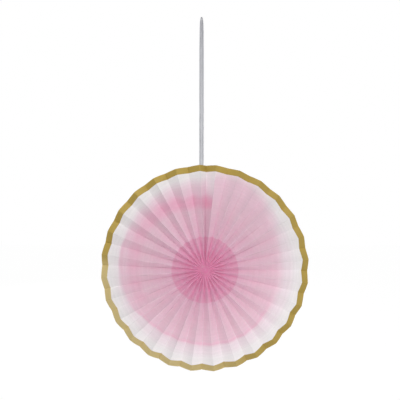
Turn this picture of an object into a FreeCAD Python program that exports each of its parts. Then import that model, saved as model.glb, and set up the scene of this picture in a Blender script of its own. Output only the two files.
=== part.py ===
import FreeCAD, Part
import math
import os

# Paper fan rosette: one strip of printed paper, pleated to and fro, opened to a full circle round its
# inner edge, lapped and taped at the seam, tied near the centre and hung by a ribbon loop.
# Millimetres. +Z is up and the printed side faces -Y. The origin is in the top of the ribbon loop,
# where the hook bears. Angles run clockwise from the top, as seen from the printed side.

# Pleated paper
fan_radius = 203.2
pleat_count = 28
rim_depth = 9.7
paper_thickness = 0.15
seam_pleat_angle = 9.0
seam_start_angle = -3.0
seam_back_fold_share = 0.39
crush_radius = 130.0
inner_packing = 1.25
seam_packing = 2.4
radial_spans = 8
span_crowding = 1.5

# Tape in the lap
tape_thickness = 0.1
tape_height = 7.0
tape_inner_skip_count = 2
tape_rim_skip_count = 1

# Thread through the inner ends of the pleats
thread_diameter = 0.5
thread_hole_clearance = 0.15
thread_sides = 6
tie_margin = 2.0

# Hanging ribbon
ribbon_width = 4.2
ribbon_thickness = 0.15
ribbon_gap = 0.1
ribbon_drop = 270.4
ribbon_tail = 20.0
ribbon_clearance = 0.6
ribbon_side_offset = 7.1
loop_radius = 1.0
loop_facets = 8
# Points of one leg's route: distance below the loop, share of the way out from the loop's radius to
# the leg's final place, and angle of the ribbon's width out of the fan's plane
leg_route = (
    (0.0, 0.0, 76.0),
    (3.0, 0.26, 61.0),
    (6.0, 0.48, 52.0),
    (10.0, 0.6, 40.0),
    (16.0, 0.69, 34.0),
    (26.0, 0.8, 27.0),
    (45.0, 0.88, 21.0),
    (75.0, 0.94, 14.0),
    (112.0, 0.98, 7.0),
    (160.0, 1.0, 0.0),
)

# Glue that holds the ribbon's tails
glue_diameter = 7.0
glue_below_rim = 10.0
glue_centre_offset = 1.1

# Derived sizes of the strip
pitch_angle = (360.0 - seam_pleat_angle) / (pleat_count - 1)
panel_angle = pitch_angle / 2
layer_count = 2 * pleat_count + 1
last_edge = layer_count
first_front_angle = seam_start_angle + seam_pleat_angle
seam_back_angle = seam_start_angle + seam_pleat_angle * seam_back_fold_share
inner_radius = inner_packing * layer_count * paper_thickness / (2 * math.pi)
lap_stack = 2 * paper_thickness + tape_thickness
seam_inner_radius = seam_packing * lap_stack / math.radians(seam_pleat_angle)
tie_radius = seam_inner_radius + tie_margin


def panel_chord(radius):
    return 2 * radius * math.sin(math.radians(panel_angle / 2))


panel_width = math.hypot(rim_depth, panel_chord(fan_radius))


def fold_depth(radius):
    """Distance from the front folds to the back folds: that of a panel of the same width at every
    radius, less what the tie crushes near the centre."""
    free_depth = math.sqrt(panel_width ** 2 - panel_chord(radius) ** 2)
    return free_depth * uncrushed_share(radius) / uncrushed_share(fan_radius)


def uncrushed_share(radius):
    return radius / math.hypot(radius, crush_radius)


def station_radii():
    """Radii at which the strip's section is drawn, closer together towards the rim."""
    radii = [inner_radius, seam_inner_radius]
    reach = fan_radius - seam_inner_radius
    for step in range(1, radial_spans + 1):
        share = 1 - (1 - step / radial_spans) ** span_crowding
        radii.append(seam_inner_radius + reach * share)
    return radii


def lap_shift(radius):
    """Sideways distance between the middles of the two lapped panels."""
    depth = fold_depth(radius)
    half_lap = math.radians(first_front_angle - seam_back_angle) * radius
    slope = math.hypot(half_lap, depth) / depth
    return (paper_thickness + tape_thickness) * slope


def edge_angle(edge, radius):
    """Angle of a fold or cut edge. Edge 0 and the last are cut, odd edges are at the front."""
    if edge == 0:
        return seam_back_angle + math.degrees(lap_shift(radius) / radius)
    if edge == last_edge:
        return 360 + first_front_angle - math.degrees(lap_shift(radius) / radius)
    if edge == last_edge - 1:
        return 360 + seam_back_angle
    return first_front_angle + (edge - 1) * panel_angle


fan_middle = FreeCAD.Vector(0, 0, 0)


def fan_point(radius, angle, depth):
    turn = math.radians(angle)
    offset = FreeCAD.Vector(radius * math.sin(turn), depth, radius * math.cos(turn))
    return fan_middle + offset


def edge_points(edge, radius):
    """The section's corners at one fold: its blunt outer tip's two sides and its inner corner."""
    depth = fold_depth(radius)
    side = -1 if edge % 2 else 1
    here = edge_angle(edge, radius)
    gaps = []
    for neighbour in (edge - 1, edge + 1):
        if neighbour < 0 or neighbour > last_edge:
            gaps.append(None)
        else:
            gaps.append(abs(math.radians(edge_angle(neighbour, radius) - here)) * radius)
    before, after = gaps
    before = after if before is None else before
    after = before if after is None else after
    half_before = paper_thickness * math.hypot(before, depth) / depth / 2
    half_after = paper_thickness * math.hypot(after, depth) / depth / 2
    inner_rise = depth * (half_before + half_after) / (before + after)
    inner_shift = after / depth * inner_rise - half_after
    tip = side * depth / 2
    tip_before = fan_point(radius, here - math.degrees(half_before / radius), tip)
    tip_after = fan_point(radius, here + math.degrees(half_after / radius), tip)
    inner_angle = here + math.degrees(inner_shift / radius)
    inner = fan_point(radius, inner_angle, tip - side * inner_rise)
    return tip_before, tip_after, inner


def skin_chains(radius, first, last):
    """Front and back outlines of the strip's section, each a list of corners per edge."""
    front = []
    back = []
    for edge in range(first, last + 1):
        tip_before, tip_after, inner = edge_points(edge, radius)
        if edge in (0, last_edge):
            front.append([tip_before])
            back.append([tip_after])
        elif edge % 2:
            front.append([tip_before, tip_after])
            back.append([inner])
        else:
            front.append([inner])
            back.append([tip_before, tip_after])
    return front, back


def flatten(chain):
    return [point for corners in chain for point in corners]


def band(inner, outer):
    """Triangles between two lists of corners of the same length."""
    triangles = []
    for i in range(len(inner) - 1):
        triangles.append((inner[i], inner[i + 1], outer[i + 1]))
        triangles.append((inner[i], outer[i + 1], outer[i]))
    return triangles


def section_cap(front, back):
    """Triangles that close the strip's section at one radius."""
    triangles = []
    for corners_front, corners_back in zip(front, back):
        if len(corners_front) == 2:
            triangles.append((corners_front[0], corners_front[1], corners_back[0]))
        elif len(corners_back) == 2:
            triangles.append((corners_back[0], corners_back[1], corners_front[0]))
    for i in range(len(front) - 1):
        triangles += band([front[i][-1], front[i + 1][0]], [back[i][-1], back[i + 1][0]])
    return triangles


def solid_from_triangles(triangles):
    """One closed solid from plane triangles that share their corners."""
    points = []
    numbers = {}
    facets = []
    for triangle in triangles:
        corners = []
        for point in triangle:
            key = (round(point.x, 7), round(point.y, 7), round(point.z, 7))
            if key not in numbers:
                numbers[key] = len(points)
                points.append(point)
            corners.append(numbers[key])
        if len(set(corners)) == 3:
            facets.append(tuple(corners))
    shell_faces = Part.Shape()
    shell_faces.makeShapeFromMesh((points, facets), 1e-5)
    solid = Part.Solid(Part.Shell(shell_faces.Faces))
    if solid.Volume < 0:
        solid.reverse()
    return solid


def make_paper(radii):
    triangles = []
    for i in range(len(radii) - 1):
        first, last = (1, last_edge - 2) if i == 0 else (0, last_edge)
        front_in, back_in = skin_chains(radii[i], first, last)
        front_out, back_out = skin_chains(radii[i + 1], first, last)
        triangles += band(flatten(front_in), flatten(front_out))
        triangles += band(flatten(back_in), flatten(back_out))
        triangles += band([front_in[0][0], back_in[0][0]], [front_out[0][0], back_out[0][0]])
        triangles += band([front_in[-1][-1], back_in[-1][-1]], [front_out[-1][-1], back_out[-1][-1]])
        if i == 0:
            triangles += section_cap(front_in, back_in)
    # The strip's clipped inner corners at the seam, and the rim
    front, back = skin_chains(radii[1], 0, 1)
    triangles += band([front[0][0], front[1][0]], [back[0][0], back[1][0]])
    front, back = skin_chains(radii[1], last_edge - 2, last_edge)
    triangles += band([front[0][1], front[1][0]], [back[0][0], back[1][0]])
    triangles += band([front[1][0], front[2][0]], [back[1][1], back[2][0]])
    triangles.append((back[1][0], back[1][1], front[1][0]))
    front, back = skin_chains(radii[-1], 0, last_edge)
    triangles += section_cap(front, back)
    paper = solid_from_triangles(triangles)
    hole_radius = thread_diameter / 2 + thread_hole_clearance
    return paper.cut(fan_ring(hole_radius))


def fan_ring(section_radius):
    """Six-sided ring round the fan's axis, half way between its front and back folds, cornered at each fold."""
    rings = []
    for edge in range(1, last_edge):
        ring = []
        for step in range(thread_sides):
            turn = 2 * math.pi * step / thread_sides
            radius = tie_radius + section_radius * math.cos(turn)
            ring.append(fan_point(radius, edge_angle(edge, tie_radius), section_radius * math.sin(turn)))
        rings.append(ring + ring[:1])
    triangles = []
    for ring_in, ring_out in zip(rings, rings[1:] + rings[:1]):
        triangles += band(ring_in, ring_out)
    return solid_from_triangles(triangles)


def slab(columns):
    """Closed solid between two faces, each given by two corners at every station."""
    triangles = []
    for (near_in, far_in), (near_out, far_out) in zip(columns, columns[1:]):
        triangles += band(near_in, near_out)
        triangles += band(far_in, far_out)
        for side in (0, 1):
            triangles += band([near_in[side], far_in[side]], [near_out[side], far_out[side]])
    for near, far in (columns[0], columns[-1]):
        triangles += band(near, far)
    return solid_from_triangles(triangles)


def make_tape(radii):
    """Tape between the two lapped panels, from near the inner end to just short of the rim."""
    columns = []
    for radius in radii[tape_inner_skip_count:len(radii) - tape_rim_skip_count]:
        front, back = skin_chains(radius, last_edge - 1, last_edge)
        under_front, under_back = skin_chains(radius, 0, 1)
        over = [back[0][1], back[1][0]]
        under = [under_front[0][0], under_front[1][0]]
        columns.append((over, under))
    window = Part.makeBox(3 * fan_radius, tape_height, 3 * fan_radius)
    window.translate(fan_middle - FreeCAD.Vector(1.5 * fan_radius, tape_height / 2, 1.5 * fan_radius))
    return slab(columns).common(window)


def seam_panel_back(radius):
    """Back of the panel before the seam's back fold, behind which the ribbon hangs."""
    front, back = skin_chains(radius, last_edge - 2, last_edge - 1)
    return back[0][0], back[1][0]


def ribbon_standoff():
    """How far the ribbon hangs behind the fan's middle plane, clear of the panel in front of it."""
    near, far = seam_panel_back(fan_radius - ribbon_tail)
    reach = ribbon_width + ribbon_gap / 2 - ribbon_side_offset
    share = (reach - near.x) / (far.x - near.x)
    return near.y + share * (far.y - near.y) + ribbon_clearance + ribbon_thickness / 2


def make_ribbon():
    """Flat ribbon loop: edge on over the hook, its two legs turning flat as they spread side by side."""
    stations = [leg_station(-1, point) for point in reversed(leg_points())]
    for step in range(1, loop_facets):
        turn = math.pi * step / loop_facets
        outward = FreeCAD.Vector(-math.cos(turn), 0, math.sin(turn))
        stations.append((outward * loop_radius, FreeCAD.Vector(0, 1, 0), outward))
    stations += [leg_station(1, point) for point in leg_points()]
    columns = []
    for centre, across, outward in stations:
        half_across = across * (ribbon_width / 2)
        half_out = outward * (ribbon_thickness / 2)
        inside = [centre - half_across - half_out, centre + half_across - half_out]
        outside = [centre - half_across + half_out, centre + half_across + half_out]
        columns.append((inside, outside))
    return slab(columns)


def leg_points():
    """A leg's route down to its tail's end: distance below the loop, distance out and angle."""
    leg_offset = (ribbon_width + ribbon_gap) / 2
    points = []
    for below, spread_share, angle in leg_route:
        points.append((below, loop_radius + spread_share * (leg_offset - loop_radius), angle))
    points.append((ribbon_drop + ribbon_tail, leg_offset, 0.0))
    return points


def leg_station(side, point):
    """Middle of one leg at a point of its route, with the directions across its width and through it."""
    below, offset, angle = point
    twist = math.radians(angle)
    across = FreeCAD.Vector(-side * math.cos(twist), math.sin(twist), 0)
    outward = FreeCAD.Vector(side * math.sin(twist), math.cos(twist), 0)
    return FreeCAD.Vector(side * offset, 0, -below), across, outward


def make_glue(radii):
    """Blob of glue from the back of the panel to the front of the ribbon's tails."""
    behind = FreeCAD.Vector(0, 2 * panel_width, 0)
    columns = []
    for radius in radii[-3:]:
        near, far = seam_panel_back(radius)
        columns.append(([near, far], [near + behind, far + behind]))
    start = FreeCAD.Vector(glue_centre_offset, -2 * panel_width, -ribbon_drop - glue_below_rim)
    reach = 2 * panel_width - ribbon_thickness / 2
    blob = Part.makeCylinder(glue_diameter / 2, reach, start, FreeCAD.Vector(0, 1, 0))
    return slab(columns).common(blob)


def save(name, shape):
    if shape.ShapeType == "Compound" and len(shape.Solids) == 1:
        shape = shape.Solids[0]
    shape.exportStep("parts/" + name + ".step")
    print(name, "solids", len(shape.Solids), "faces", len(shape.Faces), "valid", shape.isValid(),
          "volume", round(shape.Volume, 3))


os.makedirs("parts", exist_ok=True)
fan_middle = FreeCAD.Vector(ribbon_side_offset, -ribbon_standoff(), -ribbon_drop - fan_radius)
radii = station_radii()
save("pleated_paper", make_paper(radii))
save("seam_tape", make_tape(radii))
save("centre_thread", fan_ring(thread_diameter / 2))
save("hanging_ribbon", make_ribbon())
save("ribbon_glue", make_glue(radii))
print("panel width", round(panel_width, 2), "inner radius", round(inner_radius, 2))
print("radii", [round(radius, 1) for radius in radii], "loop radius", loop_radius)
print("leg route", [(round(offset, 2), round(-below, 1)) for below, offset, angle in leg_points()])
print("fan middle", [round(place, 2) for place in fan_middle])
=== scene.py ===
import math

import bmesh
import bpy
import numpy as np
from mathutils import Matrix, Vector


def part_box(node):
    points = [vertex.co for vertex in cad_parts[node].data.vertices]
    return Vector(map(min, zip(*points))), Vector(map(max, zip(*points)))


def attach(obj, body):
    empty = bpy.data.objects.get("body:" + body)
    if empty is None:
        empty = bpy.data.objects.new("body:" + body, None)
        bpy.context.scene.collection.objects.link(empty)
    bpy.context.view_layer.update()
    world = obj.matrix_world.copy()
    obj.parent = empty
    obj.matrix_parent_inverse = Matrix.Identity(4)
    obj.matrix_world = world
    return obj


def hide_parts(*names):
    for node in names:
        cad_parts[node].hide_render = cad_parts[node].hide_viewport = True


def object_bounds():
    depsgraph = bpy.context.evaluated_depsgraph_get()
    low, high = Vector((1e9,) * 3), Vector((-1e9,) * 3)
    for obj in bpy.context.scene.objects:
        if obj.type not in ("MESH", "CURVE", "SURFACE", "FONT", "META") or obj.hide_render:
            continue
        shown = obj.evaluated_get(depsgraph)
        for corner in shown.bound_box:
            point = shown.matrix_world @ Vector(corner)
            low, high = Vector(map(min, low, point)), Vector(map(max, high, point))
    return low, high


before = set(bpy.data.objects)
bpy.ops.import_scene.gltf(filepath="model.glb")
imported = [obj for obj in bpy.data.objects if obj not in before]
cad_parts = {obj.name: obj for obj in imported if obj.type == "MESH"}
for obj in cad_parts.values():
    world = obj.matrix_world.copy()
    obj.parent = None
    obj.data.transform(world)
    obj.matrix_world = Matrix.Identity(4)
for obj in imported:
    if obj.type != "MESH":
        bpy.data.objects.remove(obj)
cadLow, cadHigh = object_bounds()
print("frame loaded", sorted(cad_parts))

# The thread's ring lies round the fan's middle
ringLow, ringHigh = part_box("centre_thread")
fanMiddle = np.array((ringLow + ringHigh) / 2)


# Camera

cameraView = {
    "distance": 0.600,      # before the fan
    "right": -0.0128,       # of the fan's middle
    "above": 0.080,
    "yaw": 0.37,            # degrees, turned to the right
    "pitch": -3.92,
    "roll": -0.04,
    "focal": 307.1,         # in pixels of the picture's width
    "pictureWidth": 400,
    "lowered": 50.5,        # pixels that the lens shift moves the fan down
    "rightwards": 0.5,
    "sensor": 36.0,
    "clipEnd": 50,
}


def addCamera(s):
    data = bpy.data.cameras.new("camera")
    data.sensor_width = s["sensor"]
    data.lens = s["focal"] / s["pictureWidth"] * s["sensor"]
    data.shift_x = -s["rightwards"] / s["pictureWidth"]
    data.shift_y = s["lowered"] / s["pictureWidth"]
    data.clip_end = s["clipEnd"]
    camera = bpy.data.objects.new("camera", data)
    bpy.context.scene.collection.objects.link(camera)
    camera.location = fanMiddle + np.array([s["right"], -s["distance"], s["above"]])
    camera.rotation_mode = "XYZ"
    camera.rotation_euler = (math.radians(90 + s["pitch"]), math.radians(s["roll"]), -math.radians(s["yaw"]))
    bpy.context.scene.camera = camera
    print("camera", round(data.lens, 2), "mm lens")


addCamera(cameraView)


# Meshes

# Quads of a grid of rows by columns points, numbered row by row
def gridFaces(rows, columns):
    corner = (np.arange(rows - 1)[:, None] * columns + np.arange(columns - 1)[None, :]).ravel()
    return np.stack([corner, corner + 1, corner + columns + 1, corner + columns], axis=1)


# One object at the origin from arrays of points and quads; uv holds one pair for each point
def addMesh(name, points, faces, materials, slots=None, uv=None, smoothAngle=30):
    mesh = bpy.data.meshes.new(name)
    mesh.from_pydata(points.tolist(), [], faces.tolist())
    for material in materials:
        mesh.materials.append(material)
    if slots is not None:
        mesh.polygons.foreach_set("material_index", slots.astype(np.int32))
    if uv is not None:
        layer = mesh.uv_layers.new(name="strip")
        layer.data.foreach_set("uv", uv[faces.ravel()].ravel().astype(np.float32))
    mesh.polygons.foreach_set("use_smooth", np.ones(len(faces), bool))
    mesh.update()
    mesh.set_sharp_from_angle(angle=math.radians(smoothAngle))
    piece = bpy.data.objects.new(name, mesh)
    bpy.context.scene.collection.objects.link(piece)
    return piece


# Merges points that lie on each other and turns all faces outwards
def weldMesh(piece, within=1e-7):
    work = bmesh.new()
    work.from_mesh(piece.data)
    bmesh.ops.remove_doubles(work, verts=work.verts, dist=within)
    bmesh.ops.recalc_face_normals(work, faces=work.faces)
    work.to_mesh(piece.data)
    work.free()
    piece.data.update()


# Materials

# Linear colour of one written as 0 to 255 in sRGB
def srgb(red, green, blue):
    out = []
    for channel in (red, green, blue):
        c = channel / 255
        out.append(c / 12.92 if c <= 0.04045 else ((c + 0.055) / 1.055) ** 2.4)
    return (*out, 1.0)


# Principled material with the values that are the same all over, by socket name
def newMaterial(name, **values):
    material = bpy.data.materials.new(name)
    material.use_nodes = True
    shader = material.node_tree.nodes["Principled BSDF"]
    for key, value in values.items():
        shader.inputs[key.replace("_", " ")].default_value = value
    return material, material.node_tree, shader


# Node of one kind; a value goes to the node's setting of that name, or else to its socket
def addNode(tree, kind, **values):
    node = tree.nodes.new(kind)
    for key, value in values.items():
        if hasattr(node, key):
            setattr(node, key, value)
        else:
            node.inputs[key.replace("_", " ")].default_value = value
    return node


# Puts a number, a colour or another node's output into a socket
def feed(tree, socket, given):
    if isinstance(given, (int, float, tuple)):
        socket.default_value = given
    else:
        tree.links.new(given, socket)


# One math step on outputs or numbers
def mathNode(tree, operation, *inputs):
    node = addNode(tree, "ShaderNodeMath", operation=operation)
    for i, given in enumerate(inputs):
        feed(tree, node.inputs[i], given)
    return node.outputs[0]


# Product of two or more
def times(tree, first, *others):
    for other in others:
        first = mathNode(tree, "MULTIPLY", first, other)
    return first


# 1 less the value
def oneLess(tree, value):
    return mathNode(tree, "SUBTRACT", 1.0, value)


# Distance between two values
def distanceOf(tree, first, second):
    return mathNode(tree, "ABSOLUTE", mathNode(tree, "SUBTRACT", first, second))


# 0 below start and 1 above end, smooth between
def stepBetween(tree, value, start, end):
    node = addNode(tree, "ShaderNodeMapRange", interpolation_type="SMOOTHSTEP")
    for name, given in (("Value", value), ("From Min", start), ("From Max", end)):
        feed(tree, node.inputs[name], given)
    return node.outputs["Result"]


# 1 below the first of reach and 0 above the second, smooth between
def closeTo(tree, value, reach):
    return oneLess(tree, stepBetween(tree, value, *reach))


# Colour that goes from one to the other as the share goes from 0 to 1
def mixColour(tree, share, below, above):
    node = addNode(tree, "ShaderNodeMix", data_type="RGBA")
    for i, given in ((0, share), (6, below), (7, above)):
        feed(tree, node.inputs[i], given)
    return node.outputs[2]


# Value read from a smooth curve through (place, value) stops
def fieldOf(tree, value, stops):
    node = tree.nodes.new("ShaderNodeFloatCurve")
    curve = node.mapping.curves[0]
    for i, (place, height) in enumerate(stops):
        if i < 2:
            curve.points[i].location = (place, height)
        else:
            curve.points.new(place, height)
    node.mapping.update()
    tree.links.new(value, node.inputs["Value"])
    return node.outputs[0]


# Colour read from a ramp of (place, colour) stops
def rampOf(tree, value, stops):
    node = tree.nodes.new("ShaderNodeValToRGB")
    ramp = node.color_ramp
    ramp.interpolation = "EASE"
    for i, (place, colour) in enumerate(stops):
        element = ramp.elements[i] if i < 2 else ramp.elements.new(place)
        element.position = place
        element.color = colour
    tree.links.new(value, node.inputs[0])
    return node.outputs[0]


# X, Y and Z of a vector
def partsOf(tree, vector):
    node = tree.nodes.new("ShaderNodeSeparateXYZ")
    tree.links.new(vector, node.inputs[0])
    return node.outputs


# The piece's own pattern coordinates: X and Y of its UV map
def stripPlace(tree):
    return partsOf(tree, addNode(tree, "ShaderNodeUVMap", uv_map="strip").outputs[0])


# Noise at a place, with the settings in a dictionary
def noiseAt(tree, place, settings):
    node = addNode(tree, "ShaderNodeTexNoise", **settings)
    tree.links.new(place, node.inputs["Vector"])
    return node.outputs[0]


# Small relief on the surface; bump holds its strength and its height in metres
def addBump(tree, shader, height, bump):
    node = addNode(tree, "ShaderNodeBump", Strength=bump[0], Distance=bump[1])
    tree.links.new(height, node.inputs["Height"])
    tree.links.new(node.outputs[0], shader.inputs["Normal"])


# Hanging ribbon

ribbon = {
    "width": 0.0042,
    "thickness": 0.00015,
    # Middle line: up the left strand from its tail behind the rim, over the hook and down the right one
    "route": [
        (-0.00215, 0, -0.2904),
        (-0.00215, 0, -0.1600),
        (-0.00213, 0, -0.1120),
        (-0.00208, 0, -0.0750),
        (-0.00201, 0, -0.0450),
        (-0.00192, 0, -0.0260),
        (-0.00179, 0, -0.0160),
        (-0.00169, 0, -0.0100),
        (-0.00155, 0, -0.0060),
        (-0.00130, 0, -0.0030),
        (-0.00100, 0, 0.0000),
        (-0.00100, 0, 0.0010),
        (0.00100, 0, 0.0010),
        (0.00100, 0, 0.0000),
        (0.00130, 0, -0.0030),
        (0.00155, 0, -0.0060),
        (0.00169, 0, -0.0100),
        (0.00179, 0, -0.0160),
        (0.00192, 0, -0.0260),
        (0.00201, 0, -0.0450),
        (0.00208, 0, -0.0750),
        (0.00213, 0, -0.1120),
        (0.00215, 0, -0.1600),
        (0.00215, 0, -0.2904),
    ],
    "curveSteps": 14,           # between two points of the route
    # Angle of the width out of the fan's plane, by height
    "turnHeights": (-0.160, -0.112, -0.075, -0.045, -0.026, -0.016, -0.010, -0.006, -0.003, 0.0, 0.001),
    "turns": (0, 7, 14, 21, 27, 34, 40, 52, 61, 76, 90),
    "acrossPoints": 7,
    "cup": 0.00012,             # how far the ribbon's middle stands off its edges
    "smoothAngle": 50,
    "colour": srgb(176, 177, 182),
    "edgeColour": srgb(196, 196, 200),
    "edgeReach": (0.38, 0.5),   # where the edge's colour starts and is full, from the middle line
    "roughness": 0.42,
    "shine": 0.35,
    "ribs": 75.0,               # lengthwise ribs, in radians over the width
    "crimps": 2400.0,           # crimps across, in radians a metre
    "crimpShare": 0.5,          # of the ribs' height
    "bump": (0.25, 0.00004),
}


# Points along the smooth curve that has the route's points as its control points
def routePoints(name, route, steps):
    curve = bpy.data.curves.new(name, "CURVE")
    curve.dimensions = "3D"
    curve.resolution_u = steps
    spline = curve.splines.new("NURBS")
    spline.points.add(len(route) - 1)
    spline.points.foreach_set("co", np.c_[np.array(route), np.ones(len(route))].ravel())
    spline.order_u = 3
    spline.use_endpoint_u = True
    holder = bpy.data.objects.new(name, curve)
    bpy.context.scene.collection.objects.link(holder)
    line = bpy.data.meshes.new_from_object(holder)
    points = np.zeros(len(line.vertices) * 3)
    line.vertices.foreach_get("co", points)
    bpy.data.objects.remove(holder)
    return points.reshape(-1, 3)


# Satin curling ribbon, paler along its edges. Its relief is sin(ribs * across) and a share of
# sin(crimps * along).
def ribbonMaterial(s):
    material, tree, shader = newMaterial("ribbonSatin", Roughness=s["roughness"],
                                         Specular_IOR_Level=s["shine"])
    across, along = stripPlace(tree)[:2]
    edge = stepBetween(tree, distanceOf(tree, across, 0.5), *s["edgeReach"])
    tree.links.new(mixColour(tree, edge, s["colour"], s["edgeColour"]), shader.inputs["Base Color"])
    ribs = mathNode(tree, "SINE", times(tree, across, s["ribs"]))
    crimps = mathNode(tree, "SINE", times(tree, along, s["crimps"]))
    addBump(tree, shader, mathNode(tree, "ADD", ribs, times(tree, crimps, s["crimpShare"])), s["bump"])
    return material


# Flat strip along the route. Its width points along Y over the hook and turns towards X further down, by
# the table of turns. Across it the section is a shallow arc, cup * (1 - 4 * share^2) high.
def addRibbon(s):
    line = routePoints("ribbonLine", s["route"], s["curveSteps"])
    ahead = np.gradient(line, axis=0)
    ahead /= np.linalg.norm(ahead, axis=1)[:, None]
    along = np.cumsum(np.r_[0, np.linalg.norm(np.diff(line, axis=0), axis=1)])
    twist = np.radians(np.interp(line[:, 2], s["turnHeights"], s["turns"]))
    side = np.where(along < along[-1] / 2, -1.0, 1.0)
    flat = np.c_[-side * np.cos(twist), np.sin(twist), np.zeros(len(line))]
    across = flat - (flat * ahead).sum(1)[:, None] * ahead
    across /= np.linalg.norm(across, axis=1)[:, None]
    outward = np.cross(ahead, across)
    outward *= np.sign((outward * np.c_[side, np.ones(len(line)), np.ones(len(line))]).sum(1))[:, None]
    share = np.linspace(-0.5, 0.5, s["acrossPoints"])
    cup = s["cup"] * (1 - 4 * share ** 2)
    skins = []
    for height in (-0.5, 0.5):
        lift = cup + height * s["thickness"] - s["cup"] / 2
        skins.append(line[:, None] + across[:, None] * (share * s["width"])[None, :, None]
                     + outward[:, None] * lift[None, :, None])
    # A closed loop of points at each place along the line: out on one skin, back on the other
    loop = np.concatenate([skins[0], skins[1][:, ::-1], skins[0][:, :1]], axis=1)
    rows, columns = loop.shape[:2]
    acrossUv = np.r_[share + 0.5, share[::-1] + 0.5, 0.0]
    uv = np.stack(np.broadcast_arrays(acrossUv[None, :], along[:, None]), axis=2).reshape(-1, 2)
    n = s["acrossPoints"]
    first = np.arange(n - 1)
    startCap = np.stack([first, first + 1, 2 * n - 2 - first, 2 * n - 1 - first], axis=1)
    endCap = startCap[:, ::-1] + (rows - 1) * columns
    faces = np.concatenate([gridFaces(rows, columns), startCap, endCap])
    piece = addMesh("ribbonLoop", loop.reshape(-1, 3), faces, [ribbonMaterial(s)], uv=uv,
                    smoothAngle=s["smoothAngle"])
    weldMesh(piece)
    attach(piece, "root")
    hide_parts("hanging_ribbon")


addRibbon(ribbon)


# Pleated paper

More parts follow.
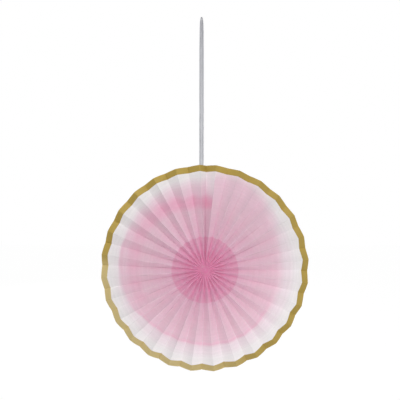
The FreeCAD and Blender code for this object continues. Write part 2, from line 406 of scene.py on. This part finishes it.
# Places along the strip are shares of the way round from the seam, clockwise from the front, and places
# across it are shares of the fan's radius
paper = {
    "radius": 0.2032,
    "innerRadius": 0.0003,
    "pleats": 28,
    "rimDepth": 0.0097,
    "crush": 0.130,             # radius below which the tie crushes the pleats together
    "thickness": 0.00016,
    "seamPleat": 9.0,           # degrees
    "seamStart": -3.0,          # degrees from the top
    "seamBackFold": 0.39,       # share of the seam pleat
    "lapGap": 0.00010,
    "borderWidth": 0.0119,
    "radialPoints": 70,
    "rimCrowding": 1.15,        # above 1 the points stand closer together towards the rim
    "acrossPoints": (0.0, 0.015, 0.05, 0.14, 0.3, 0.5, 0.7, 0.86, 0.95, 0.985, 1.0),
    "thinnest": 0.42,           # most of a narrow panel's width that half the paper may take
    "smoothAngle": 22,
    "seed": 7,
    "foldJitter": 0.3,          # degrees, either way
    # How far a panel's middle bends back off flat at the rim, by degrees round from the top: panels that
    # go back clockwise, then panels that come forward
    "bowTurns": (0, 20, 60, 100, 130, 180, 230, 260, 300, 330, 352, 360),
    "bowGoing": (0, 0.0011, 0.0007, 0.0003, 0.0, 0.0001, 0.0, 0.0, -0.0003, -0.0008, 0, 0),
    "bowComing": (0, 0.0002, 0.0005, 0.0006, -0.0005, -0.0011, -0.0010, -0.0002, 0.0003, 0.0009, 0, 0),
    "bowJitter": 0.00025,
    "ripple": 0.0004,           # waves along a panel, from crest to trough
    "rippleTurns": 9,           # radians from the middle to the rim
    # Bends of the lapped panels and of the one that stands before the ribbon's glue
    "seamBows": {0: 0.0, 54: 0.0, 55: -0.0005, 56: 0.0},
    "print": {
        "roughness": 0.72,
        "shine": 0.3,
        "viewedFrom": 0.6,      # distance at which the printed rings look round
        # Colours from the centre out, each reached at its place
        "innerWash": [(0.0, srgb(228, 148, 187)), (0.14, srgb(224, 154, 186)), (0.24, srgb(224, 166, 193)),
                      (0.30, srgb(224, 170, 194))],
        "middleWash": [(0.33, srgb(228, 192, 208)), (0.45, srgb(226, 191, 206)), (0.60, srgb(225, 193, 206)),
                       (0.75, srgb(225, 194, 207))],
        "outerWash": [(0.68, srgb(229, 199, 211)), (0.80, srgb(229, 216, 222)), (0.90, srgb(230, 226, 227))],
        "discEdge": 0.322,
        "discSoftness": 0.006,
        # Outer edge of the middle wash and its softness, by place along the strip
        "washEdge": [(0.0, 0.88), (0.02, 0.93), (0.06, 0.95), (0.10, 0.90), (0.14, 0.82), (0.18, 0.75),
                     (0.22, 0.71), (0.27, 0.70), (0.33, 0.72), (0.38, 0.74), (0.62, 0.75), (0.66, 0.80),
                     (0.75, 0.83), (0.86, 0.82), (0.95, 0.83), (1.0, 0.84)],
        "washSoftness": [(0.0, 0.10), (0.15, 0.08), (0.24, 0.05), (0.30, 0.03), (0.36, 0.012), (0.62, 0.012),
                         (0.68, 0.03), (0.78, 0.02), (0.86, 0.06), (1.0, 0.10)],
        "wander": {"Scale": 26.0, "Detail": 3.0, "Roughness": 0.55},
        "wanderReach": 0.03,    # how far the washes stray from their places
        # Line that dries darker just inside the wash's edge, where that is sharp
        "line": srgb(226, 178, 198),
        "lineInside": 0.008,
        "lineReach": (0.004, 0.028),
        "lineSharpness": (0.012, 0.03),
        "lineStrength": 0.4,
        # Deeper band inside the wash's edge on the left and at the top
        "band": srgb(226, 164, 190),
        "bandPlace": [(0.0, 0.645), (0.62, 0.68), (0.74, 0.69), (0.88, 0.70), (0.94, 0.665), (1.0, 0.65)],
        "bandDepth": [(0.0, 0.25), (0.03, 0.0), (0.60, 0.0), (0.68, 0.35), (0.80, 0.45), (0.90, 0.8),
                      (1.0, 1.0)],
        "bandReach": (0.015, 0.095),
        "bandStrength": 0.8,
        # Painted highlight: pale lines of bare paper along the back folds of the lower half, where the light
        # catches them; reach is in panels
        "creaseHighlightReach": (0.03, 0.11),
        "creaseHighlightFrom": (0.27, 0.38),
        "creaseHighlightTo": (0.62, 0.72),
        "creaseHighlightOut": (0.30, 0.42),
        "creaseHighlightStrength": 0.35,
        # Paler print on the strip's lapped end
        "stripEnd": srgb(236, 222, 228),
        "endPast": 0.0004,      # start of it past the last fold
        "endOut": (0.66, 0.80),
        "endStrength": 0.7,
        "mottle": {"Scale": 90.0, "Detail": 6.0, "Roughness": 0.6},
        "mottleReach": (0.45, 0.75),
        "mottleStrength": 0.14,
        # Painted light and shade: brightness of the print at the rim, by place along the strip, lighter at
        # the bottom and darker at the top
        "paintedLight": [(0.0, 0.97), (0.16, 0.96), (0.28, 1.07), (0.45, 1.10), (0.62, 1.08), (0.72, 1.02),
                 (0.85, 0.97), (1.0, 0.96)],
        "paintedLightOut": (0.1, 0.85),
        # Faint rings, as a wide brush leaves them, and the paper's tooth
        "rings": {"noise_dimensions": "2D", "Scale": 1.0, "Detail": 3.0},
        "ringsRound": 5.0,
        "ringsOut": 60.0,
        "ringFade": 0.10,       # spread of the tone from ring to ring, and from grain to grain
        "tooth": {"Scale": 420.0, "Detail": 4.0, "Roughness": 0.7},
        "toothFade": 0.16,
        "grain": {"Scale": 2600.0, "Detail": 2.0},
        "bump": (0.12, 0.00006),
    },
    "border": {
        "gold": srgb(165, 140, 62),
        "sheenGold": srgb(196, 176, 122),
        # Painted reflection: share of pale gold, by place along the strip, most on the lower left
        "paintedSheen": [(0.0, 0.05), (0.20, 0.0), (0.36, 0.05), (0.43, 0.4), (0.50, 0.75), (0.58, 1.0), (0.70, 1.0),
                 (0.74, 0.6), (0.78, 0.05), (1.0, 0.0)],
        "cloud": {"Scale": 60.0, "Detail": 3.0},
        "cloudShare": 0.2,
        "sheenReach": (0.1, 1.1),
        "metal": 0.25,
        "roughness": 0.5,
    },
    "back": {
        "white": srgb(236, 232, 230),
        "roughness": 0.75,
    },
}


# Middle wash, outer wash past its edge, the dried line, the band, and the disc inside all of them
def washColour(tree, s, along, out, wet):
    edge = fieldOf(tree, along, s["washEdge"])
    soft = fieldOf(tree, along, s["washSoftness"])
    past = stepBetween(tree, wet, mathNode(tree, "SUBTRACT", edge, soft), mathNode(tree, "ADD", edge, soft))
    colour = mixColour(tree, past, rampOf(tree, wet, s["middleWash"]), rampOf(tree, wet, s["outerWash"]))
    lineWay = distanceOf(tree, wet, mathNode(tree, "SUBTRACT", edge, s["lineInside"]))
    line = times(tree, closeTo(tree, lineWay, s["lineReach"]), closeTo(tree, soft, s["lineSharpness"]),
                 s["lineStrength"])
    colour = mixColour(tree, line, colour, s["line"])
    bandWay = distanceOf(tree, wet, fieldOf(tree, along, s["bandPlace"]))
    band = times(tree, closeTo(tree, bandWay, s["bandReach"]), fieldOf(tree, along, s["bandDepth"]),
                 s["bandStrength"])
    colour = mixColour(tree, band, colour, s["band"])
    pastDisc = stepBetween(tree, wet, s["discEdge"] - s["discSoftness"], s["discEdge"] + s["discSoftness"])
    return mixColour(tree, pastDisc, rampOf(tree, out, s["innerWash"]), colour)


# Share of bare paper painted along the creases as a highlight. Back folds lie where along * panels is even.
def creaseHighlightShare(tree, s, along, out, panels):
    foldWay = mathNode(tree, "PINGPONG", times(tree, along, float(panels)), 1.0)
    lower = times(tree, stepBetween(tree, along, *s["creaseHighlightFrom"]), closeTo(tree, along, s["creaseHighlightTo"]))
    return times(tree, closeTo(tree, foldWay, s["creaseHighlightReach"]), lower,
                 stepBetween(tree, out, *s["creaseHighlightOut"]), s["creaseHighlightStrength"])


# Brightness of the print: 1, and the brush's rings, the paper's tooth and painted light and shade by sector
# round it
def printLevel(tree, s, spot, along, out):
    stretch = tree.nodes.new("ShaderNodeCombineXYZ")
    tree.links.new(times(tree, along, s["ringsRound"]), stretch.inputs[0])
    tree.links.new(times(tree, out, s["ringsOut"]), stretch.inputs[1])
    rings = times(tree, noiseAt(tree, stretch.outputs[0], s["rings"]), s["ringFade"])
    tooth = times(tree, noiseAt(tree, spot, s["tooth"]), s["toothFade"])
    plain = 1.0 - (s["ringFade"] + s["toothFade"]) / 2
    level = mathNode(tree, "ADD", mathNode(tree, "ADD", rings, tooth), plain)
    # Painted light and shade: lighter at the bottom, darker at the top, growing towards the rim
    paintedLight = mathNode(tree, "SUBTRACT", fieldOf(tree, along, s["paintedLight"]), 1.0)
    return mathNode(tree, "ADD", level, times(tree, paintedLight, stepBetween(tree, out, *s["paintedLightOut"])))


# Matt printed paper. Out is the printed ring at a point: its radius * (1 - depth / viewing distance), so
# that the rings look round from the front. Wet is out with the noise by which a wash strays.
def printMaterial(s, panels):
    material, tree, shader = newMaterial("printedPaper", Roughness=s["roughness"],
                                         Specular_IOR_Level=s["shine"])
    along, radius = stripPlace(tree)[:2]
    spot = tree.nodes.new("ShaderNodeTexCoord").outputs["Object"]
    depth = mathNode(tree, "SUBTRACT", partsOf(tree, spot)[1], float(fanMiddle[1]))
    out = times(tree, radius, oneLess(tree, mathNode(tree, "DIVIDE", depth, s["viewedFrom"])))
    stray = mathNode(tree, "SUBTRACT", noiseAt(tree, spot, s["wander"]), 0.5)
    wet = mathNode(tree, "ADD", out, times(tree, stray, s["wanderReach"]))
    colour = washColour(tree, s, along, out, wet)
    barePaper = s["outerWash"][-1][1]
    # Painted highlight: pale lines along the back folds of the lower half
    colour = mixColour(tree, creaseHighlightShare(tree, s, along, out, panels), colour, barePaper)
    lapped = mathNode(tree, "GREATER_THAN", along, (panels - 1) / panels + s["endPast"])
    end = times(tree, lapped, stepBetween(tree, wet, *s["endOut"]), s["endStrength"])
    colour = mixColour(tree, end, colour, s["stripEnd"])
    mottle = stepBetween(tree, noiseAt(tree, spot, s["mottle"]), *s["mottleReach"])
    colour = mixColour(tree, times(tree, mottle, s["mottleStrength"]), colour, barePaper)
    tinted = addNode(tree, "ShaderNodeVectorMath", operation="SCALE")
    tree.links.new(colour, tinted.inputs[0])
    tree.links.new(printLevel(tree, s, spot, along, out), tinted.inputs["Scale"])
    tree.links.new(tinted.outputs[0], shader.inputs["Base Color"])
    addBump(tree, shader, noiseAt(tree, spot, s["grain"]), s["bump"])
    return material


# Gold ink with a metal sheen, and a painted reflection that makes it paler on the lower left
def borderMaterial(s):
    material, tree, shader = newMaterial("goldBorder", Metallic=s["metal"], Roughness=s["roughness"])
    cloud = noiseAt(tree, tree.nodes.new("ShaderNodeTexCoord").outputs["Object"], s["cloud"])
    # Painted reflection: pale gold where the foil would mirror a bright surround
    paintedSheen = fieldOf(tree, stripPlace(tree)[0], s["paintedSheen"])
    paintedSheen = mathNode(tree, "ADD", paintedSheen, times(tree, cloud, s["cloudShare"]))
    paintedSheen = stepBetween(tree, paintedSheen, *s["sheenReach"])
    tree.links.new(mixColour(tree, paintedSheen, s["gold"], s["sheenGold"]), shader.inputs["Base Color"])
    return material


# Angle from one front fold to the next, in degrees, away from the seam
def pleatPitch(s):
    return (360 - s["seamPleat"]) / (s["pleats"] - 1)


# Numbers spread evenly either side of 0
def jitterOf(rng, count, size):
    return rng.uniform(-size, size, count)


# Angles of the strip's first cut end, all its folds and its last cut end, clockwise from the top, in
# radians. The strip starts at the seam's back fold and laps one panel beyond it at its end.
def foldAngles(s, rng):
    pitch = pleatPitch(s)
    front = s["seamStart"] + s["seamPleat"] + pitch * np.arange(s["pleats"])
    back = front[:-1] + pitch / 2
    jitter = jitterOf(rng, 2 * s["pleats"], s["foldJitter"])
    seamBack = s["seamStart"] + s["seamPleat"] * s["seamBackFold"]
    angles = np.zeros(2 * s["pleats"] + 2)
    angles[0] = seamBack
    angles[1:-2:2] = front + jitter[::2]
    angles[2:-2:2] = back + jitter[1:-1:2]
    angles[1] = front[0]
    angles[-3] = 360 + s["seamStart"]
    angles[-2] = 360 + seamBack
    angles[-1] = 360 + front[0]
    return np.radians(angles)


# Radii of the points from the middle to the rim, one of them on the gold's inner edge
def ringRadii(s):
    run = np.linspace(0, 1, s["radialPoints"])
    radii = s["innerRadius"] + (s["radius"] - s["innerRadius"]) * (1 - (1 - run) ** s["rimCrowding"])
    border = s["radius"] - s["borderWidth"]
    radii[np.abs(radii - border).argmin()] = border
    return radii, border


# Share of a pleat's free depth that the tie leaves: radius / sqrt(radius^2 + crush^2)
def uncrushedShare(radius, crush):
    return radius / np.hypot(radius, crush)


# Depth of the pleats at each radius: sqrt(panelWidth^2 - chord^2), as panels of one width have it, less
# what the tie crushes
def pleatDepth(s, radii):
    chordAt = 2 * math.sin(math.radians(pleatPitch(s) / 4))
    panelWidth = math.hypot(s["rimDepth"], chordAt * s["radius"])
    depth = np.sqrt(panelWidth ** 2 - (chordAt * radii) ** 2)
    depth *= uncrushedShare(radii, s["crush"]) / uncrushedShare(s["radius"], s["crush"])
    return depth, panelWidth


# How far a point stands back off its flat panel, by radius, panel and share of the way across:
# sin(pi * share) * radius / rim * (bow + half the ripple * its wave)
def panelBends(s, rng, edges, radii, share):
    panels = len(edges) - 1
    turns = np.degrees(edges[:-1] + edges[1:]) / 2
    bow = np.where(np.arange(panels) % 2, np.interp(turns, s["bowTurns"], s["bowGoing"]),
                   np.interp(turns, s["bowTurns"], s["bowComing"]))
    bow += jitterOf(rng, panels, s["bowJitter"])
    ripple = np.full(panels, s["ripple"])
    for panel, bend in s["seamBows"].items():
        bow[panel], ripple[panel] = bend, 0
    phase = rng.uniform(0, 2 * math.pi, panels)
    out = (radii / s["radius"])[:, None]
    wave = np.sin(out * s["rippleTurns"] + phase)
    return np.sin(math.pi * share) * out[:, :, None] * (bow + ripple * wave / 2)[:, :, None]


# Front and back skin, by radius, panel and share of the way across. The folds stand depth / 2 before and
# behind the middle plane, and a panel runs straight from one to the next but for its bend. Each skin is
# the panel moved sideways by half the paper's sloped thickness, but never past a fold.
def paperSkins(s, edges, radii, depth, share, bends):
    start = np.tile(edges[:-1], (len(radii), 1))
    end = np.tile(edges[1:], (len(radii), 1))
    # The lapped panel at each end of the strip stops short of the fold that it lies against
    lap = (s["thickness"] + s["lapGap"]) / radii
    start[:, 0] += lap
    end[:, -1] -= lap
    angle = start[:, :, None] + (end - start)[:, :, None] * share
    gap = (np.abs(end - start) * radii[:, None])[:, :, None]
    depth = depth[:, None, None]
    startsBack = (np.arange(len(edges) - 1) % 2 == 0)[:, None]
    sign = np.where(startsBack, 1, -1)
    y = sign * depth / 2 * (1 - 2 * share) + bends
    halfSide = np.minimum(s["thickness"] / 2 * np.hypot(gap, depth) / depth, s["thinnest"] * gap)
    insideFold = np.minimum(halfSide, np.minimum(share, 1 - share) * gap)
    firstHalf = share < 0.5
    insideFold[:, 0, firstHalf] = halfSide[:, 0]        # a cut end has its full thickness
    insideFold[:, -1, ~firstHalf] = halfSide[:, -1]
    # The front skin is the outer one at a front fold and the inner one at a back fold
    frontIsOuter = firstHalf ^ startsBack
    skins = []
    for outer, way in ((frontIsOuter, -sign), (~frontIsOuter, sign)):
        turned = angle + np.where(outer, halfSide, insideFold) * way / radii[:, None, None]
        x, z = radii[:, None, None] * np.sin(turned), radii[:, None, None] * np.cos(turned)
        skins.append(np.stack([x, y, z], axis=3).reshape(len(radii), -1, 3) + fanMiddle)
    return skins


# Quads from a row of points on the front skin to the same row on the back skin
def wallFaces(first, step, total):
    return np.stack([first, first + step, first + step + total, first + total], axis=1)


# Quads of the front skin, the back skin, the rim and the hub, and last the strip's two cut ends
def sheetFaces(rows, columns):
    total = rows * columns
    front = gridFaces(rows, columns)
    back = front[:, ::-1] + total
    hub = np.arange(columns - 1)
    rim = hub + (rows - 1) * columns
    left = np.arange(rows - 1) * columns
    right = left + columns - 1
    rimAndHub = [wallFaces(rim, 1, total), wallFaces(hub, 1, total)[:, ::-1]]
    cutEnds = [wallFaces(left, columns, total), wallFaces(right, columns, total)[:, ::-1]]
    faces = np.concatenate([front, back, *rimAndHub, *cutEnds])
    printed = np.r_[:len(front), len(faces) - 2 * len(left):len(faces)]
    return faces, printed


# The whole strip: print and gold on its front and on its cut ends, white paper elsewhere
def addPaper(s):
    rng = np.random.default_rng(s["seed"])
    edges = foldAngles(s, rng)
    panels = len(edges) - 1
    radii, border = ringRadii(s)
    depth, panelWidth = pleatDepth(s, radii)
    share = np.array(s["acrossPoints"])
    bends = panelBends(s, rng, edges, radii, share)
    front, back = paperSkins(s, edges, radii, depth, share, bends)
    rows, columns = front.shape[:2]
    along = ((np.arange(panels)[:, None] + share) / panels).ravel()
    uv = np.stack(np.broadcast_arrays(along, (radii / s["radius"])[:, None]), axis=2).reshape(-1, 2)
    faces, printed = sheetFaces(rows, columns)
    rowOf = faces[printed, 0] % (rows * columns) // columns
    printSlot, backSlot, goldSlot = 0, 1, 2
    slots = np.full(len(faces), backSlot)
    slots[printed] = np.where(radii[rowOf] >= border - 1e-6, goldSlot, printSlot)
    whitePaper = newMaterial("paperBack", Base_Color=s["back"]["white"], Roughness=s["back"]["roughness"])[0]
    materials = [printMaterial(s["print"], panels), whitePaper, borderMaterial(s["border"])]
    points = np.concatenate([front.reshape(-1, 3), back.reshape(-1, 3)])
    piece = addMesh("paperFan", points, faces, materials, slots, np.concatenate([uv, uv]), s["smoothAngle"])
    weldMesh(piece)
    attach(piece, "root")
    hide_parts("pleated_paper")
    print("paper", len(faces), "faces,", panels, "panels", round(panelWidth * 1000, 2), "mm wide")


addPaper(paper)


# Small hidden pieces keep their solids and get their finish: node, material, colour, roughness

hiddenPieces = {
    "seam_tape": ("clearTape", srgb(236, 230, 214), 0.3),
    "centre_thread": ("cottonThread", srgb(226, 222, 214), 0.85),
    "ribbon_glue": ("driedGlue", srgb(226, 222, 206), 0.35),
}


def finishNodes(s):
    for node, (name, colour, roughness) in s.items():
        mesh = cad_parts[node].data
        mesh.materials.clear()
        mesh.materials.append(newMaterial(name, Base_Color=colour, Roughness=roughness)[0])
    print("finished", ", ".join(s))


finishNodes(hiddenPieces)


# Floor, backdrop and lamps

studio = {
    "floorBelow": 0.14,
    "floorSize": 8.0,           # from its middle to each side
    "floorColour": srgb(240, 240, 240),
    "floorRoughness": 0.9,
    "floorLit": 0.96,           # share of plain white that the camera sees on the floor
    "floorGlow": 1.022,         # strength of that white, so that floor and backdrop meet without a line
    "white": (1.0, 1.0, 1.0, 1.0),
    "worldStrength": 0.31,
    # Soft lamps: name, place from the fan's middle, side length, watts
    "lamps": [("frontLamp", (0.0, -0.70, 0.10), 0.25, 2.2), ("topLamp", (0.0, -0.40, 0.50), 0.25, 0.55),
              ("lowLamp", (0.45, -0.45, -0.40), 0.25, 1.3), ("rightLamp", (1.20, -1.40, 0.60), 0.60, 3.5),
              ("backLamp", (-0.60, 1.80, 0.60), 1.20, 24.0)],
}


# The lit look, with a share of the seen look mixed in where the eye, a mirror or glass looks straight at it
def seenMix(tree, share, lit, seen):
    path = tree.nodes.new("ShaderNodeLightPath")
    looked = mathNode(tree, "MAXIMUM", path.outputs["Is Camera Ray"], path.outputs["Is Glossy Ray"])
    looked = mathNode(tree, "MAXIMUM", looked, path.outputs["Is Transmission Ray"])
    mix = tree.nodes.new("ShaderNodeMixShader")
    tree.links.new(times(tree, looked, share), mix.inputs[0])
    tree.links.new(lit.outputs[0], mix.inputs[1])
    tree.links.new(seen.outputs[0], mix.inputs[2])
    return mix.outputs[0]


# Pale floor that reads as plain white and keeps a light shadow
def floorMaterial(s):
    material, tree, shader = newMaterial("floorPale", Base_Color=s["floorColour"],
                                         Roughness=s["floorRoughness"])
    glow = addNode(tree, "ShaderNodeEmission", Color=s["white"], Strength=s["floorGlow"])
    surface = tree.nodes["Material Output"].inputs["Surface"]
    tree.links.new(seenMix(tree, s["floorLit"], shader, glow), surface)
    return material


def addFloor(s):
    corners = np.array([(-1, -1, 0), (1, -1, 0), (1, 1, 0), (-1, 1, 0)]) * s["floorSize"]
    corners += np.array([0, 0, cadLow.z - s["floorBelow"]])
    floor = addMesh("floor", corners, np.array([[0, 1, 2, 3]]), [floorMaterial(s)])


# Dim white world that is seen as plain white
def addWorld(s):
    world = bpy.data.worlds.new("studio")
    bpy.context.scene.world = world
    world.use_nodes = True
    tree = world.node_tree
    background = tree.nodes["Background"]
    background.inputs["Color"].default_value = s["white"]
    background.inputs["Strength"].default_value = s["worldStrength"]
    backdrop = addNode(tree, "ShaderNodeBackground", Color=s["white"], Strength=1.0)
    tree.links.new(seenMix(tree, 1.0, background, backdrop), tree.nodes["World Output"].inputs["Surface"])


# Square lamps that point at the fan's middle
def addLamps(s):
    for name, place, size, watts in s["lamps"]:
        lamp = bpy.data.lights.new(name, "AREA")
        lamp.energy = watts
        lamp.size = size
        holder = bpy.data.objects.new(name, lamp)
        bpy.context.scene.collection.objects.link(holder)
        holder.location = fanMiddle + np.array(place)
        holder.rotation_mode = "QUATERNION"
        holder.rotation_quaternion = Vector(-np.array(place)).to_track_quat("-Z", "Y")


addFloor(studio)
addWorld(studio)
addLamps(studio)
bpy.context.scene.view_settings.view_transform = "Standard"
print("studio", len(studio["lamps"]), "lamps")
